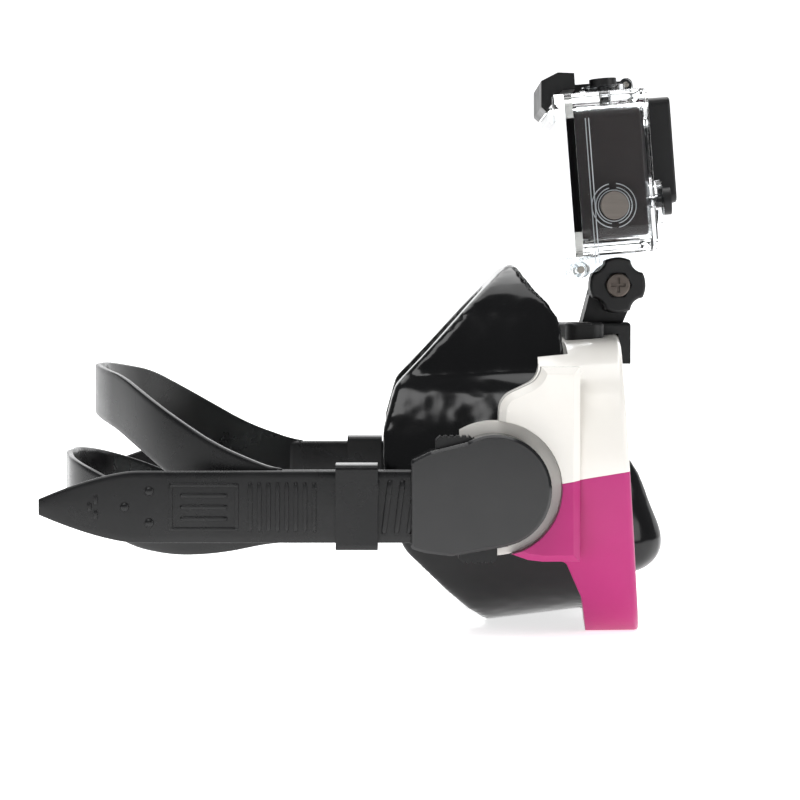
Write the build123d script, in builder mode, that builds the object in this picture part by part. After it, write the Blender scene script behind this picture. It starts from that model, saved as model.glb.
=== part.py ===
"""Dive mask with a camera bracket on its brow and an action camera in a clear waterproof housing.

Frame: millimetres, +X forward out of the lenses, +Y to the wearer's left, +Z up.
The origin is below the middle of the whole object, on the surface that it stands on.
"""

from math import cos, radians, sin
import os

from build123d import *

os.makedirs("parts", exist_ok=True)

# ---- mask frame --------------------------------------------------------------------------
front_x = 84.0  # front face of the frame, at the middle and at the surface it stands on
front_lean = 3.7  # the front face leans back by this many degrees
front_sweep = 4.0  # each half of the face is swept back by this many degrees
frame_half_width = 77.0
frame_height = 87.5
frame_wall = 4.0
frame_face = 3.0  # thickness of the face round the lenses
rim_depth = 12.0  # depth of the walls round the nose
brow_rear_x = 58.8  # rear edge of the frame's brow, at the middle
brow_half_width = 56.0
nose_cut_half_width = 52.0  # within this the frame has no wall behind the rim
foot_inner, foot_outer = 40.0, 50.0  # flat foot below each lens
notch_top = 57.0
split_x, split_z, split_angle = 64.0, 46.8, 9.6  # joint between the upper and lower frame
rim_round = 1.6  # rounding of the frame's front edge
clear = 0.3  # clearance beside curved pieces
reach = 130.0  # half length of the tools that trim across the mask

# ---- lenses --------------------------------------------------------------------------------
lens_thickness = 4.0
lens_lap = 2.5  # how far the skirt's seat reaches under the glass
bezel_thickness = 2.6
bezel_sink = 0.6  # the bezel sits this far below the frame's face
bezel_width = 1.2

# ---- skirt ---------------------------------------------------------------------------------
skirt_wall = 2.2
seat_depth = 11.7  # from the skirt's front face to the back of its lens seats
seal_wall = 1.8
seal_width = 11.0  # how far the face seal turns inwards
skirt_front_x = 71.0
skirt_half_width = 67.8
nose_x = 70.0  # the nose pocket's sections are centred here
nose_wall = 2.0

# ---- ears and buckle swivel ------------------------------------------------------------------
swivel_x, swivel_z = 36.4, 43.9
ear_floor = 74.0
ear_floor_thickness = 3.0
ear_top = 79.5
ear_front_x = 61.0
ear_chamfer = 2.0
pocket_radius = 19.5
stud_radius = 4.0
stud_head_radius = 6.0
stud_head_thickness = 1.4
running_gap = 0.05

# ---- buckle ----------------------------------------------------------------------------------
buckle_radius = 16.0
buckle_base = 2.0
buckle_wall = 1.8
buckle_outer = 88.0
cover_thickness = 2.0
roller_radius = 1.4
roller_bore = 0.8
roller_x = 14.6
button_travel = 1.2
button_half = 5.5
button_proud = 2.4
button_slot_gap = 0.15
upper_button_x, lower_button_x = 24.9, 31.5
spring_radius = 1.7
spring_wire = 0.35
spring_turns = 5
rib_half = 1.2  # half height of the rib that both springs push against

# ---- strap -----------------------------------------------------------------------------------
strap_thickness = 2.0
strap_width = 20.6
strap_mid_z = 39.2
strap_fold = 2.5  # radius of the fold round the roller, to the middle of the strap
strap_bend_x = -24.0  # behind this the side runs start to turn round the head
upper_rear_x, lower_rear_x = -85.0, -95.2
tail_tip_x = -93.5
tail_taper_x = -66.0
keeper_length = 12.0
keeper_mid_x = -3.0
keeper_wall = 1.6
keeper_gap = 0.35
keeper_forward, keeper_back = 6.0, 12.0

# ---- camera bracket ----------------------------------------------------------------------------
screw_x, screw_z = 77.0, 103.0
bracket_half_width = 28.0
bracket_top = 91.5
bracket_front_x, bracket_rear_x = 72.0, 60.0
flange_half_width = 15.0
flange_thickness = 2.2
flange_drop = 9.0
prong_radius = 7.4
prong_thickness = 2.9
prong_gap = 0.1
arm_half_depth = 5.8
screw_radius = 2.4
nut_flats = 8.0
nut_thickness = 4.0
nut_boss_radius = 6.4
knob_radius = 8.65
knob_thickness = 9.0
screw_head_radius = 3.7
screw_head_thickness = 2.4
base_screw_y = 21.0
base_screw_radius = 1.5

# ---- camera and housing, in the housing's own axes, from the screw's axis -----------------------
housing_lean = 4.5
camera_width, camera_height = 59.0, 41.0
camera_rear, camera_front = -10.7, 9.6
camera_mid = 34.2
housing_half_width = 35.0
housing_bottom, housing_top = 9.4, 59.1
housing_rear, housing_front = -13.5, 11.8
housing_front_wall = 1.8
housing_round = 3.5
cavity_gap = 0.6
door_thickness = 3.0
door_gap = 0.1
pin_u, pin_w = -12.0, 5.5
pin_radius = 1.1
knuckle_radius = 2.6
knuckle_inner, knuckle_outer = 12.0, 30.0
gasket_depth = 2.5
gasket_width = 2.2
latch_u, latch_w = 8.0, 62.4
latch_radius = 2.1
latch_pin_radius = 0.9
latch_left, latch_right = 26.0, 4.0
hook_half = 22.0
hook_front_u = -9.0
port_side = 33.4
port_y, port_w = 13.0, 41.4
port_front = 21.8
port_bore = 11.6
glass_radius = 13.4
glass_thickness = 1.8
port_screw_pitch = 27.6
port_screw_radius = 1.3
lens_radius = 10.6
button_radius = 4.2
stem_radius = 1.8
guard_radius = 6.7
guard_wall = 1.4
guard_floor = 1.6  # height of the boss below the front button
button_stroke = 1.0
shutter_u, shutter_y = 0.0, -17.0
mode_y, mode_w = -20.0, 24.6
side_u, side_w = -1.0, 24.0

lean, yaw, tip = radians(front_lean), radians(front_sweep), radians(housing_lean)
# The right half's front plane: its sketches have the wearer's left along x and up along y.
front = Plane(
    origin=(front_x, 0, 0),
    x_dir=(sin(yaw), cos(yaw), 0),
    z_dir=(cos(lean) * cos(yaw), -cos(lean) * sin(yaw), sin(lean)),
)
# The housing's axes: its sketches have forward along x and the wearer's left along y.
housing_axes = Plane(
    origin=(screw_x, 0, screw_z), x_dir=(cos(tip), 0, sin(tip)), z_dir=(-sin(tip), 0, cos(tip))
)


def side_plane(y):
    """A plane across the housing at `y`, with forward along x, up along y and its normal to the right."""
    return Plane(origin=(screw_x, y, screw_z), x_dir=(cos(tip), 0, sin(tip)), z_dir=(0, -1, 0))


def face_plane(u):
    """A plane facing forward in the housing at `u`, with the wearer's left along x and up along y."""
    spot = (screw_x + u * cos(tip), 0, screw_z + u * sin(tip))
    return Plane(origin=spot, x_dir=(0, 1, 0), z_dir=(cos(tip), 0, sin(tip)))


def right_plane(y):
    """A plane at `y` facing the wearer's right, with forward along x and up along y."""
    return Plane.XZ.offset(y)


def save(name, part):
    """Labels one finished piece and writes it as its own STEP file."""
    part.label = name
    export_step(part, f"parts/{name}.step")


def save_pair(name, right_part):
    """Writes a piece of the right side and its mirror image on the left."""
    save(f"{name}_right", right_part)
    with BuildPart() as left:
        add(mirror(right_part, about=Plane.XZ, mode=Mode.PRIVATE))
    save(f"{name}_left", left.part)


def grown(shape, amount):
    """A smooth outline moved out by `amount`, or in when it is negative, as one closed curve."""
    wire = shape.face().outer_wire()
    count = round(wire.length / 2.5)
    spots = [wire @ (step / count) for step in range(count)]
    area = sum(a.X * b.Y - b.X * a.Y for a, b in zip(spots, spots[1:] + spots[:1]))
    turn = 1 if area > 0 else -1
    outwards = [(wire % (step / count)).cross(Vector(0, 0, turn)) for step in range(count)]
    with BuildSketch() as result:
        with BuildLine():
            Spline(*[spot + out.normalized() * amount for spot, out in zip(spots, outwards)], periodic=True)
        make_face()
    return result.sketch


# ==============================================================================================
# Outlines that several pieces share
# ==============================================================================================
foot_sink = 0.5  # the outline runs this far below the surface, where the feet are cut flat
outline_points = [
    (0, frame_height),
    (0.38 * frame_half_width, frame_height - 0.4),
    (0.73 * frame_half_width, frame_height - 3.5),
    (0.93 * frame_half_width, frame_height - 15),
    (frame_half_width, frame_height - 37),
    (0.965 * frame_half_width, 32),
    (0.87 * frame_half_width, 14.5),
    (0.76 * frame_half_width, 3.6),
    (foot_outer, -foot_sink),
    (foot_inner, -foot_sink),
    (31, 4.5), (24.5, 16), (18.8, 31), (13.8, notch_top - 14), (7.5, notch_top - 3.8), (0, notch_top),
]
lens_points = [
    (13.5, 77.9), (32, 79.3), (55, 75.5), (67, 62), (69, 45), (65, 28), (56.5, 13.8),
    (45, 8.2), (35.5, 14), (28.5, 27), (21, 45), (13.5, 57.5), (9.2, 67.5), (9.4, 74.8),
]
with BuildSketch() as outline:
    with BuildLine():
        other_half = [(-across, up) for across, up in outline_points[-2:0:-1]]
        Spline(*outline_points, *other_half, periodic=True)
    make_face()

with BuildSketch() as lens_shape:
    with BuildLine():
        Spline(*[(-across, up) for across, up in lens_points], periodic=True)
    make_face()

# The wings seen from the side: the frame is kept in front of this line.
wing_points = [
    (49.9, frame_height + 12), (49.9, 75.5), (38.0, 70), (37.4, 59), (37.4, 30), (41, 25.2), (46, 23.4),
    (57.5, 22), (62.6, 10.7), (65.8, -8), (front_x + 12, -8), (front_x + 12, frame_height + 12),
]
with BuildSketch() as wing_shape:
    with BuildLine():
        Polyline(*wing_points, close=True)
    make_face()
    wing_corners = vertices().filter_by(lambda v: v.X < 62 and v.Y < frame_height)
    fillet(wing_corners.filter_by(lambda v: v.Y > 65), radius=6)
    wing_bends = vertices().filter_by(lambda v: 21 < v.Y < 35 and v.X < 60)
    fillet(wing_bends, radius=2.4)

# The skirt seen from the side: the seal's edge is at the left and the brow's slope above.
skirt_points = [
    (43.3, 111.2), (30, 97), (17.1, 82.7), (7.8, 73), (4.3, 60), (4.3, 38), (10.8, 24.3), (23.2, 11.7),
    (36.3, 0), (58, 0), (skirt_front_x, 3), (front_x + 20, 3), (front_x + 20, 84), (58.1, 84),
    (57.2, 92), (53.7, 97.5), (49, 102.6),
]
with BuildSketch() as skirt_side:
    with BuildLine():
        Polyline(*skirt_points, close=True)
    make_face()
    seal_bends = vertices().filter_by(lambda v: v.X < 45 and 3 < v.Y < 105)
    fillet(seal_bends, radius=6)
    peak = vertices().sort_by(Axis.Y)[-1]
    fillet(peak, radius=3)


# ==============================================================================================
# Frame
# ==============================================================================================
nose_cut_align = (Align.CENTER, Align.CENTER, Align.MAX)
with BuildPart() as frame_shell:
    with BuildSketch(front):
        add(outline.sketch)
    extrude(amount=-56)
    fillet(faces().sort_by(Axis.X)[-1].outer_wire().edges(), radius=rim_round)
    with BuildSketch(front.offset(-frame_face)):
        add(grown(outline.sketch, -frame_wall))
    extrude(amount=-56, mode=Mode.SUBTRACT)
    with BuildSketch(front.offset(1)):
        add(grown(lens_shape.sketch, bezel_width + clear))
    extrude(amount=-(frame_face + 2), mode=Mode.SUBTRACT)
    split(bisect_by=Plane.XZ, keep=Keep.TOP)
    with BuildSketch(Plane.XZ):
        add(wing_shape.sketch)
    extrude(amount=reach, both=True, mode=Mode.INTERSECT)
    with Locations((brow_rear_x - 25, 0, frame_height)):
        Box(50, 2 * brow_half_width, 60, mode=Mode.SUBTRACT)
    with Locations((front_x - rim_depth - 25, 0, notch_top + frame_wall + 1)):
        Box(50, 2 * nose_cut_half_width, 80, align=nose_cut_align, mode=Mode.SUBTRACT)
    with Locations((50, 0, -10)):
        Box(200, 2 * reach, 20, mode=Mode.SUBTRACT)

with BuildPart() as ear:
    with BuildSketch(right_plane(ear_floor - ear_floor_thickness)):
        add(wing_shape.sketch)
        with Locations((ear_front_x / 2, swivel_z + 7)):
            Rectangle(ear_front_x, 56, mode=Mode.INTERSECT)
    extrude(amount=ear_top - ear_floor + ear_floor_thickness)
    chamfer(faces().sort_by(Axis.Y)[0].edges(), length=ear_chamfer)

with BuildPart() as ear_pocket:
    with BuildSketch(right_plane(ear_floor)):
        with Locations((swivel_x, swivel_z)):
            Circle(pocket_radius)
    extrude(amount=20)

with BuildPart() as ear_disc:
    with BuildSketch(right_plane(ear_floor - ear_floor_thickness)):
        with Locations((swivel_x, swivel_z)):
            Circle(pocket_radius)
        with Locations((swivel_x + 20 - stud_head_radius - 4, swivel_z)):
            Rectangle(40, 50, mode=Mode.INTERSECT)
    extrude(amount=ear_floor_thickness)

with BuildPart() as frame_right:
    add(frame_shell.part)
    add(ear.part)
    add(ear_pocket.part, mode=Mode.SUBTRACT)

split_plane = Plane(
    origin=(split_x, 0, split_z),
    x_dir=(0, 1, 0),
    z_dir=(-sin(radians(split_angle)), 0, cos(radians(split_angle))),
)
with BuildPart() as swivel_bore:
    with BuildSketch(right_plane(ear_floor - ear_floor_thickness - 5)):
        with Locations((swivel_x, swivel_z)):
            Circle(stud_radius)
    extrude(amount=20)

with BuildPart() as frame_upper:
    add(frame_right.part)
    split(bisect_by=split_plane, keep=Keep.TOP)
    add(ear_disc.part)
    add(swivel_bore.part, mode=Mode.SUBTRACT)
    with Locations(((bracket_front_x + bracket_rear_x) / 2, -base_screw_y, frame_height)):
        Cylinder(base_screw_radius, 20, mode=Mode.SUBTRACT)
    mirror(about=Plane.XZ)
save("frame_upper", frame_upper.part)

with BuildPart() as frame_lower:
    add(frame_right.part)
    split(bisect_by=split_plane, keep=Keep.BOTTOM)
    add(ear_disc.part, mode=Mode.SUBTRACT)
save_pair("frame_lower", frame_lower.part)

with BuildPart() as buckle_pivot:
    with BuildSketch(right_plane(ear_floor - ear_floor_thickness)):
        with Locations((swivel_x, swivel_z)):
            Circle(stud_radius)
    extrude(amount=ear_floor_thickness + clear + buckle_base + running_gap)
    with BuildSketch(right_plane(ear_floor + clear + buckle_base + running_gap)):
        with Locations((swivel_x, swivel_z)):
            Circle(stud_head_radius)
    extrude(amount=stud_head_thickness)
    chamfer(faces().sort_by(Axis.Y)[0].edges(), length=0.4)
save_pair("buckle_pivot", buckle_pivot.part)

# ==============================================================================================
# Lenses and bezels
# ==============================================================================================
with BuildPart() as bezel:
    with BuildSketch(front.offset(-bezel_sink)):
        add(grown(lens_shape.sketch, bezel_width))
        add(grown(lens_shape.sketch, -bezel_width), mode=Mode.SUBTRACT)
    extrude(amount=-bezel_thickness)
save_pair("bezel", bezel.part)

lens_front = bezel_sink + bezel_thickness
with BuildPart() as lens:
    with BuildSketch(front.offset(-lens_front)):
        add(lens_shape.sketch)
    extrude(amount=-lens_thickness)
save_pair("lens", lens.part)

# ==============================================================================================
# Skirt
# ==============================================================================================
skirt_bottom_front, skirt_bottom_rear = 4.5, -5.0


def skirt_section(x, inset):
    """Half of the skirt's round section at `x`, drawn `inset` inside its outer face."""
    part_way = x / skirt_front_x
    wide = 61.5 + (skirt_half_width - 61.5) * part_way
    low = skirt_bottom_rear + (skirt_bottom_front - skirt_bottom_rear) * part_way
    high = 84 - 3 * part_way
    middle = (low + high) / 2
    shares = [(0, -1), (0.42, -0.99), (0.74, -0.86), (0.94, -0.5), (1, 0.06), (0.95, 0.55), (0.78, 0.9),
              (0.42, 0.99), (0, 1)]
    tall = (high - low) / 2
    return [(across * (wide - inset), middle + up * (tall - inset)) for across, up in shares]


def skirt_loft(inset, x_front, x_rear):
    """The skirt's tube between two sections, `inset` inside its outer face."""
    with BuildPart() as tube:
        for x in (x_front, x_rear):
            with BuildSketch(Plane.YZ.offset(x)):
                with BuildLine():
                    Spline(*skirt_section(x, inset), tangents=[(1, 0), (-1, 0)])
                    mirror(about=Plane.YZ)
                make_face()
        loft(ruled=True)
    return tube.part


brow_points = [(0, 112.5), (24, 110.5), (41, 102), (50, 88), (53, 70), (53, 45)]


def brow_block(inset, x_front, x_rear):
    """The skirt's taller part over the brow, `inset` inside its outer face."""
    wide, high = brow_points[-1][0], brow_points[0][1]
    spots = [(across * (wide - inset) / wide, up * (high - inset) / high) for across, up in brow_points]
    with BuildPart() as block:
        with BuildSketch(Plane.YZ.offset(x_rear)):
            with BuildLine():
                Spline(*spots, tangents=[(1, 0), (0, -1)])
                Line(spots[-1], (0, spots[-1][1]))
                Line((0, spots[-1][1]), spots[0])
            make_face()
            mirror(about=Plane.YZ)
        extrude(amount=x_front - x_rear)
    return block.part


nose_stations = [  # height, reach forward, half width
    (12.5, 13.0, 10.0), (16, 20.3, 14.6), (22.7, 22.6, 16.0), (29, 20.9, 14.0), (38, 17.4, 9.6),
    (46, 13.8, 6.2), (52, 9.5, 3.6),
]


def nose_pocket(inset):
    """The pocket round the nose, `inset` inside its outer face."""
    with BuildPart() as pocket:
        for place, (height, forward, half) in enumerate(nose_stations):
            up = height + (inset if place == 0 else -inset if place == len(nose_stations) - 1 else 0)
            with BuildSketch(Plane((nose_x, 0, up))):
                Ellipse(forward - inset, half - inset)
        loft()
    return pocket.part


with BuildPart() as seat_block:
    with BuildSketch(front.offset(-(frame_face + clear))):
        add(grown(outline.sketch, -(frame_wall + clear)))
    extrude(amount=-seat_depth)
    split(bisect_by=Plane.XZ, keep=Keep.TOP)
    mirror(about=Plane.XZ)

with BuildPart() as frame_room:
    with BuildSketch(front.offset(2)):
        add(grown(outline.sketch, 3))
    extrude(amount=-60)
    with BuildSketch(front.offset(-(frame_face + clear))):
        add(grown(outline.sketch, -(frame_wall + clear)))
    extrude(amount=-60, mode=Mode.SUBTRACT)
    split(bisect_by=Plane.XZ, keep=Keep.TOP)
    with BuildSketch(Plane.XZ):
        offset(wing_shape.sketch, amount=clear, kind=Kind.ARC)
    extrude(amount=reach, both=True, mode=Mode.INTERSECT)
    with Locations((brow_rear_x - clear - 25, 0, frame_height)):
        Box(50, 2 * (brow_half_width - clear), 60, mode=Mode.SUBTRACT)
    with Locations((front_x - rim_depth - clear - 25, 0, notch_top + frame_wall + 1 - clear)):
        Box(50, 2 * (nose_cut_half_width - clear), 80, align=nose_cut_align, mode=Mode.SUBTRACT)
    mirror(about=Plane.XZ)

with BuildPart() as seal_side:
    with BuildSketch(Plane.XZ.offset(-reach)):
        add(skirt_side.sketch)
    extrude(amount=2 * reach)

with BuildPart() as hollow:
    add(skirt_loft(skirt_wall, skirt_front_x - skirt_wall, -10))
    add(brow_block(skirt_wall, brow_rear_x, -10))
    with BuildSketch(Plane.XZ.offset(-reach)):
        with Locations((seal_wall, -1.2)):
            add(skirt_side.sketch)
    extrude(amount=2 * reach, mode=Mode.INTERSECT)

with BuildPart() as lens_room:
    with BuildSketch(front):
        add(grown(lens_shape.sketch, 0.1))
    extrude(amount=-(lens_front + lens_thickness))
    with BuildSketch(front):
        add(grown(lens_shape.sketch, -lens_lap))
    extrude(amount=-24)
    mirror(about=Plane.XZ)

with BuildPart() as skirt:
    add(skirt_loft(0, skirt_front_x, -10))
    add(brow_block(0, brow_rear_x, -10))
    add(seal_side.part, mode=Mode.INTERSECT)
    add(frame_room.part, mode=Mode.SUBTRACT)
    add(seat_block.part)
    add(nose_pocket(0))
    with Locations((50, 0, -10)):
        Box(200, 2 * reach, 20, mode=Mode.SUBTRACT)
    add(hollow.part, mode=Mode.SUBTRACT)
    add(nose_pocket(nose_wall), mode=Mode.SUBTRACT)
    add(skirt_loft(seal_width, 50, -10), mode=Mode.SUBTRACT)
    add(brow_block(seal_width, 50, -10), mode=Mode.SUBTRACT)
    add(lens_room.part, mode=Mode.SUBTRACT)
save("skirt", skirt.part)

# ==============================================================================================
# Buckle, made for the right side and mirrored
# ==============================================================================================
base_inner = ear_floor + clear
base_outer = base_inner + buckle_base
cover_inner = buckle_outer - cover_thickness
strap_low, strap_high = strap_mid_z - strap_width / 2, strap_mid_z + strap_width / 2
strap_inner_y = base_outer + 1.8 + strap_thickness / 2
tail_y = strap_inner_y + 2 * strap_fold
roller_y = strap_inner_y + strap_fold
buckle_top_rear, buckle_low_rear = strap_high + 3.0, strap_low - 2.6
buckle_rear_x = roller_x - 2.2
buckle_points = [
    (buckle_rear_x, buckle_low_rear + 1.2), (roller_x + 2, buckle_low_rear), (24, 25.4), (40, 28.2),
    (38, swivel_z), (39, swivel_z + buckle_radius - 0.3), (31, 58.4), (18, 55.2),
    (buckle_rear_x, buckle_top_rear),
]
with BuildSketch() as buckle_shape:
    with BuildLine():
        Polyline(*buckle_points, close=True)
    make_face()
    with Locations((swivel_x, swivel_z)):
        Circle(buckle_radius)
    buckle_bends = vertices().filter_by(lambda v: v.X < 26)
    fillet(buckle_bends, radius=1.2)

button_mid_y = (base_outer + cover_inner) / 2
button_depth = cover_inner - base_outer - 2.4
upper_reach_z, lower_reach_z = 57.0 + button_proud, 25.6 - button_proud
upper_foot_z, lower_foot_z = 51.6, 32.2
foot_thickness = 1.4
foot_half = button_half + 1.4
rib_z = (upper_foot_z + lower_foot_z) / 2
rib_rear_x, rib_front_x = upper_button_x - 4, lower_button_x + 2.6
rib_foot_x = swivel_x - stud_head_radius - 0.6
head_top = base_outer + running_gap + stud_head_thickness

with BuildPart() as buckle_base_part:
    with BuildSketch(right_plane(base_inner)):
        add(buckle_shape.sketch)
    extrude(amount=cover_inner - base_inner)
    with BuildSketch(right_plane(base_outer)):
        offset(buckle_shape.sketch, amount=-buckle_wall, kind=Kind.ARC)
    extrude(amount=20, mode=Mode.SUBTRACT)
    # way in for the strap, at the rear
    with BuildSketch(right_plane(base_outer)):
        with Locations((buckle_rear_x, strap_mid_z)):
            Rectangle(2 * buckle_wall + 1, strap_width + 1.0)
    extrude(amount=20, mode=Mode.SUBTRACT)
    # rib that the springs push against
    with BuildSketch(right_plane(head_top + 0.2)):
        with Locations(((rib_rear_x + rib_front_x) / 2, rib_z)):
            Rectangle(rib_front_x - rib_rear_x, 2 * rib_half)
    extrude(amount=cover_inner - head_top - 0.5)
    with BuildSketch(right_plane(base_outer)):
        with Locations(((rib_rear_x + rib_foot_x) / 2, rib_z)):
            Rectangle(rib_foot_x - rib_rear_x, 2 * rib_half)
    extrude(amount=head_top + 0.2 - base_outer)
    # slots for the two buttons
    with Locations((upper_button_x, -button_mid_y, upper_reach_z)):
        Box(2 * (button_half + button_slot_gap), button_depth + 2 * button_slot_gap, 15, mode=Mode.SUBTRACT)
    with Locations((lower_button_x, -button_mid_y, lower_reach_z)):
        Box(2 * (button_half + button_slot_gap), button_depth + 2 * button_slot_gap, 14.6, mode=Mode.SUBTRACT)
    # holes for the roller's pin and for the swivel
    with Locations((roller_x, -roller_y, strap_mid_z)):
        Cylinder(roller_bore + running_gap, 2 * strap_width, mode=Mode.SUBTRACT)
    with BuildSketch(right_plane(base_inner - 1)):
        with Locations((swivel_x, swivel_z)):
            Circle(stud_radius + running_gap)
    extrude(amount=buckle_base + 2, mode=Mode.SUBTRACT)
save_pair("buckle_base", buckle_base_part.part)

with BuildPart() as buckle_cover:
    with BuildSketch(right_plane(cover_inner)):
        add(buckle_shape.sketch)
    extrude(amount=cover_thickness)
    chamfer(faces().sort_by(Axis.Y)[0].edges(), length=0.8)
save_pair("buckle_cover", buckle_cover.part)


def release_button(x, foot_z, reach_z):
    """A push button with a foot inside the buckle, from the foot's inner face out to `reach_z`."""
    outwards = 1 if reach_z > foot_z else -1
    with BuildPart() as button:
        with Locations((x, -button_mid_y, (foot_z + reach_z) / 2)):
            Box(2 * button_half, button_depth, abs(reach_z - foot_z))
        with Locations((x, -button_mid_y, foot_z + outwards * foot_thickness / 2)):
            Box(2 * foot_half, button_depth, foot_thickness)
        outer = faces().sort_by(Axis.Z)[-1 if outwards > 0 else 0]
        chamfer(outer.edges().filter_by(Axis.Y), length=1.2)
        # finger grooves
        with Locations(*[(x + step * 1.8, -button_mid_y, reach_z) for step in (-2, -1, 0, 1, 2)]):
            Box(0.7, button_depth, 0.8, mode=Mode.SUBTRACT)
    return button.part


def coil(x, y, z, height, radius, turns, wire):
    """A compression spring standing on a point, with its axis along Z."""
    with BuildPart() as spring:
        with BuildLine():
            path = Helix(pitch=(height - 2 * wire) / turns, height=height - 2 * wire, radius=radius,
                         center=(x, y, z + wire))
        with BuildSketch(path ^ 0):
            Circle(wire)
        sweep(is_frenet=True)
    return spring.part


save_pair("release_button_upper", release_button(upper_button_x, upper_foot_z, upper_reach_z))
save_pair("release_button_lower", release_button(lower_button_x, lower_foot_z, lower_reach_z))
spring_y = -button_mid_y
save_pair("release_spring_upper", coil(upper_button_x, spring_y, rib_z + rib_half,
                                       upper_foot_z - rib_z - rib_half, spring_radius, spring_turns, spring_wire))
save_pair("release_spring_lower", coil(lower_button_x, spring_y, lower_foot_z,
                                       rib_z - rib_half - lower_foot_z, spring_radius, spring_turns, spring_wire))

with BuildPart() as strap_roller:
    with BuildSketch(Plane.XY.offset(strap_low)):
        with Locations((roller_x, -roller_y)):
            Circle(roller_radius)
    extrude(amount=strap_width)
    with BuildSketch(Plane.XY.offset(strap_low - 2.0)):
        with Locations((roller_x, -roller_y)):
            Circle(roller_bore)
    extrude(amount=strap_width + 4.0)
save_pair("strap_roller", strap_roller.part)

# ==============================================================================================
# Strap
# ==============================================================================================
half_thick = strap_thickness / 2


def band(rear_x):
    """The strap's band round the head as seen from above, from one roller to the other."""
    with BuildLine() as middle:
        Spline((strap_bend_x, -strap_inner_y), (strap_bend_x - 34, -strap_inner_y + 16),
               (rear_x + 9, -36), (rear_x + half_thick, 0), tangents=[(-1, 0), (0, 1)])
    path = middle.line
    count = 14
    edges_of_band = []
    for side in (-1, 1):
        spots = [path @ (step / count) + (path % (step / count)).cross(Vector(0, 0, 1)).normalized()
                 * side * half_thick for step in range(count + 1)]
        edges_of_band.append(spots)
    with BuildSketch(Plane.XY) as plan:
        with BuildLine():
            for spots in edges_of_band:
                Line((roller_x, spots[0].Y), spots[0])
                Spline(*spots, tangents=[(-1, 0), (0, 1)])
            Line((roller_x, edges_of_band[0][0].Y), (roller_x, edges_of_band[1][0].Y))
            Line(edges_of_band[0][-1], edges_of_band[1][-1])
        make_face()
        mirror(about=Plane.XZ)
    return plan.sketch


upper_band_points = [
    (18, strap_high), (-26, strap_high), (-44, strap_high + 7), (-60, strap_high + 17), (-74, strap_high + 26),
    (-88, 80.5), (-100, 80.5), (-100, 64.5), (-88, 64.5), (-76, 59.5), (-64, 51.5), (-52, 43), (-40, 38.5),
    (-30, strap_low), (18, strap_low),
]
lower_band_points = [
    (18, strap_low), (-26, strap_low), (-42, strap_low - 4), (-56, strap_low - 5.5), (-70, strap_low - 4),
    (-82, 31), (-92, 37), (-100, 38), (-100, 52), (-90, 52), (-78, 45), (-66, 39), (-54, 37), (-40, 38.5),
    (-30, strap_high), (18, strap_high),
]


def side_band(points):
    """A band's outline seen from the side, across the whole head."""
    with BuildPart() as block:
        with BuildSketch(Plane.XZ.offset(-reach)):
            with BuildLine():
                Polyline(*points, close=True)
            make_face()
            fillet(vertices().filter_by(lambda v: -95 < v.X < -35), radius=14)
        extrude(amount=2 * reach)
    return block.part


with BuildPart() as upper_band:
    with BuildSketch(Plane.XY.offset(20)):
        add(band(upper_rear_x))
    extrude(amount=70)
    add(side_band(upper_band_points), mode=Mode.INTERSECT)

with BuildPart() as lower_band:
    with BuildSketch(Plane.XY.offset(15)):
        add(band(lower_rear_x))
    extrude(amount=45)
    add(side_band(lower_band_points), mode=Mode.INTERSECT)

with BuildPart() as tail:
    # fold round the roller and the tail back along the side
    with BuildSketch(Plane.XY.offset(strap_low)):
        with Locations((roller_x, -roller_y)):
            Circle(strap_fold + half_thick)
            Circle(strap_fold - half_thick, mode=Mode.SUBTRACT)
            with Locations((-10, 0)):
                Rectangle(20, 20, mode=Mode.SUBTRACT)
        with Locations(((roller_x + tail_tip_x) / 2, -tail_y)):
            Rectangle(roller_x - tail_tip_x, strap_thickness)
    extrude(amount=strap_width)
    # framed panel and ribs on the outer face
    with BuildSketch(right_plane(tail_y + half_thick)):
        with Locations((-46.5, strap_mid_z)):
            Rectangle(19, 13)
            Rectangle(17, 11, mode=Mode.SUBTRACT)
        with Locations(*[(-46.5, strap_mid_z + step * 3.4) for step in (-1, 0, 1)]):
            Rectangle(13, 1.2)
        with GridLocations(2.6, 1, 8, 1):
            with Locations((-24.2, strap_mid_z)):
                Rectangle(1.2, 14)
        with Locations((-69, strap_mid_z), (-62, strap_mid_z + 4.5), (-62, strap_mid_z - 4.5)):
            Circle(1.4)
    extrude(amount=0.5)
    with BuildSketch(right_plane(0)):
        with BuildLine():
            Polyline((40, strap_low), (tail_taper_x, strap_low), (tail_tip_x, strap_mid_z - 2.5),
                     (tail_tip_x, strap_mid_z + 2.5), (tail_taper_x, strap_high), (40, strap_high), close=True)
        make_face()
        fillet(vertices().filter_by(lambda v: v.X < tail_taper_x - 1), radius=2.4)
    extrude(amount=reach, mode=Mode.INTERSECT)

with BuildPart() as strap:
    add(upper_band.part)
    add(lower_band.part)
    add(tail.part)
    mirror(tail.part, about=Plane.XZ)
save("strap", strap.part)

keeper_in = strap_inner_y - half_thick - keeper_gap
keeper_out = tail_y + half_thick + 0.5 + keeper_gap
with BuildPart() as strap_keeper:
    with BuildSketch(Plane.YZ.offset(keeper_mid_x - keeper_length / 2)):
        with Locations((-(keeper_in + keeper_out) / 2, strap_mid_z)):
            across = keeper_out - keeper_in
            RectangleRounded(across + 2 * keeper_wall, strap_width + 2 * keeper_gap + 2 * keeper_wall, 1.5)
            Rectangle(across, strap_width + 2 * keeper_gap, mode=Mode.SUBTRACT)
    extrude(amount=keeper_length)
save_pair("strap_keeper", strap_keeper.part)

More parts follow.
